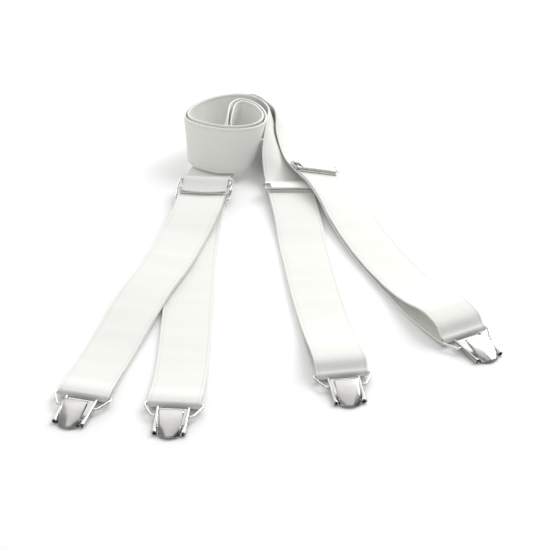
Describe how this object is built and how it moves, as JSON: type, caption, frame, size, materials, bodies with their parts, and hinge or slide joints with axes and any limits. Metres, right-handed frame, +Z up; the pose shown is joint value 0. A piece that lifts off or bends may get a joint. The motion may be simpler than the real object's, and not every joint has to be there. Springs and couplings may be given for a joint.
{
  "type": "pair of clip-on elastic suspenders",
  "caption": "Elastic webbing suspenders with slide adjusters and sprung metal clips, laid out with the middle of the straps rolled up on edge.",
  "frame": {"origin": "middle of the footprint, on the table top the object lies on", "axes": "+Z up, +Y from the clips towards the roll, +X to the right seen from the clips"},
  "size_m": [0.2928, 0.4298, 0.0419],
  "materials": {
    "webbing": "matt off-white woven elastic",
    "nickel": "bright nickel plate on pressed sheet",
    "wire_steel": "plated wire and strip",
    "grip": "moulded, matt"
  },
  "bodies": {
    "webbing": {"strap_a": "webbing", "strap_b": "webbing"},
    "bail1": {"end1_bail": "wire_steel"},
    "clip1": {"end1_back_plate": "nickel", "end1_hinge_pin": "wire_steel", "end1_spring": "wire_steel"},
    "lever1": {"end1_lever": "nickel", "end1_grip_pad": "grip"},
    "bail2": {"end2_bail": "wire_steel"},
    "clip2": {"end2_back_plate": "nickel", "end2_hinge_pin": "wire_steel", "end2_spring": "wire_steel"},
    "lever2": {"end2_lever": "nickel", "end2_grip_pad": "grip"},
    "bail3": {"end3_bail": "wire_steel"},
    "clip3": {"end3_back_plate": "nickel", "end3_hinge_pin": "wire_steel", "end3_spring": "wire_steel"},
    "lever3": {"end3_lever": "nickel", "end3_grip_pad": "grip"},
    "bail4": {"end4_bail": "wire_steel"},
    "clip4": {"end4_back_plate": "nickel", "end4_hinge_pin": "wire_steel", "end4_spring": "wire_steel"},
    "lever4": {"end4_lever": "nickel", "end4_grip_pad": "grip"},
    "adjuster1": {"adjuster1_frame": "wire_steel", "adjuster1_tab": "webbing", "adjuster1_clamp_plate": "wire_steel"},
    "adjuster2": {"adjuster2_frame": "wire_steel", "adjuster2_tab": "webbing", "adjuster2_clamp_plate": "wire_steel"},
    "adjuster3": {"adjuster3_frame": "wire_steel", "adjuster3_tab": "webbing"},
    "clamp3": {"adjuster3_clamp_plate": "wire_steel"},
    "adjuster4": {"adjuster4_frame": "wire_steel", "adjuster4_tab": "webbing"},
    "clamp4": {"adjuster4_clamp_plate": "wire_steel"}
  },
  "joints": [
    {"name": "bail1_hinge", "type": "hinge", "parent": "webbing", "child": "bail1", "pos_m": [-0.12698, -0.17037, 0.00447], "axis": [-0.9613, 0.2756, 0], "range_deg": [0, 100]},
    {"name": "clip1_hinge", "type": "hinge", "parent": "bail1", "child": "clip1", "pos_m": [-0.13067, -0.18325, 0.00379], "axis": [-0.9613, 0.2756, 0], "range_deg": [-12, 22]},
    {"name": "lever1_hinge", "type": "hinge", "parent": "clip1", "child": "lever1", "pos_m": [-0.13365, -0.19363, 0.00397], "axis": [-0.9613, 0.2756, 0], "range_deg": [0, 22], "stiffness_Nm_per_rad": 0.06, "springref_deg": -28.65},
    {"name": "bail2_hinge", "type": "hinge", "parent": "webbing", "child": "bail2", "pos_m": [-0.06868, -0.18087, 0.00447], "axis": [-0.9962, 0.0872, 0], "range_deg": [0, 100]},
    {"name": "clip2_hinge", "type": "hinge", "parent": "bail2", "child": "clip2", "pos_m": [-0.06985, -0.19421, 0.00379], "axis": [-0.9962, 0.0872, 0], "range_deg": [-12, 22]},
    {"name": "lever2_hinge", "type": "hinge", "parent": "clip2", "child": "lever2", "pos_m": [-0.07079, -0.20497, 0.00397], "axis": [-0.9962, 0.0872, 0], "range_deg": [0, 22], "stiffness_Nm_per_rad": 0.06, "springref_deg": -28.65},
    {"name": "bail3_hinge", "type": "hinge", "parent": "webbing", "child": "bail3", "pos_m": [0.03902, -0.14537, 0.00447], "axis": [-0.9877, -0.1564, 0], "range_deg": [0, 100]},
    {"name": "clip3_hinge", "type": "hinge", "parent": "bail3", "child": "clip3", "pos_m": [0.04112, -0.1586, 0.00379], "axis": [-0.9877, -0.1564, 0], "range_deg": [-12, 22]},
    {"name": "lever3_hinge", "type": "hinge", "parent": "clip3", "child": "lever3", "pos_m": [0.04281, -0.16927, 0.00397], "axis": [-0.9877, -0.1564, 0], "range_deg": [0, 22], "stiffness_Nm_per_rad": 0.06, "springref_deg": -28.65},
    {"name": "bail4_hinge", "type": "hinge", "parent": "webbing", "child": "bail4", "pos_m": [0.12142, -0.09537, 0.00447], "axis": [-0.8572, -0.515, 0], "range_deg": [0, 92]},
    {"name": "clip4_hinge", "type": "hinge", "parent": "bail4", "child": "clip4", "pos_m": [0.12832, -0.10685, 0.00379], "axis": [-0.8572, -0.515, 0], "range_deg": [-12, 22]},
    {"name": "lever4_hinge", "type": "hinge", "parent": "clip4", "child": "lever4", "pos_m": [0.13389, -0.11611, 0.00397], "axis": [-0.8572, -0.515, 0], "range_deg": [0, 22], "stiffness_Nm_per_rad": 0.06, "springref_deg": -28.65},
    {"name": "adjuster1_slide", "type": "slide", "parent": "webbing", "child": "adjuster1", "axis": [-0.1388, -0.9903, -0.0101], "range_m": [0, 0.004]},
    {"name": "adjuster2_slide", "type": "slide", "parent": "webbing", "child": "adjuster2", "axis": [-0.0872, -0.9962, 0], "range_m": [0, 0.004]},
    {"name": "adjuster3_slide", "type": "slide", "parent": "webbing", "child": "adjuster3", "axis": [0.1281, -0.9912, -0.0334], "range_m": [0, 0.0025]},
    {"name": "clamp3_hinge", "type": "hinge", "parent": "adjuster3", "child": "clamp3", "pos_m": [0.00646, 0.11506, 0.00716], "axis": [-0.989, -0.1302, 0.0698], "range_deg": [0, 4]},
    {"name": "adjuster4_slide", "type": "slide", "parent": "webbing", "child": "adjuster4", "axis": [0.4605, -0.8826, -0.0951], "range_m": [0, 0.0025]},
    {"name": "clamp4_hinge", "type": "hinge", "parent": "adjuster4", "child": "clamp4", "pos_m": [0.02355, 0.1339, 0.01295], "axis": [-0.8144, -0.4627, 0.3502], "range_deg": [0, 60]}
  ]
}
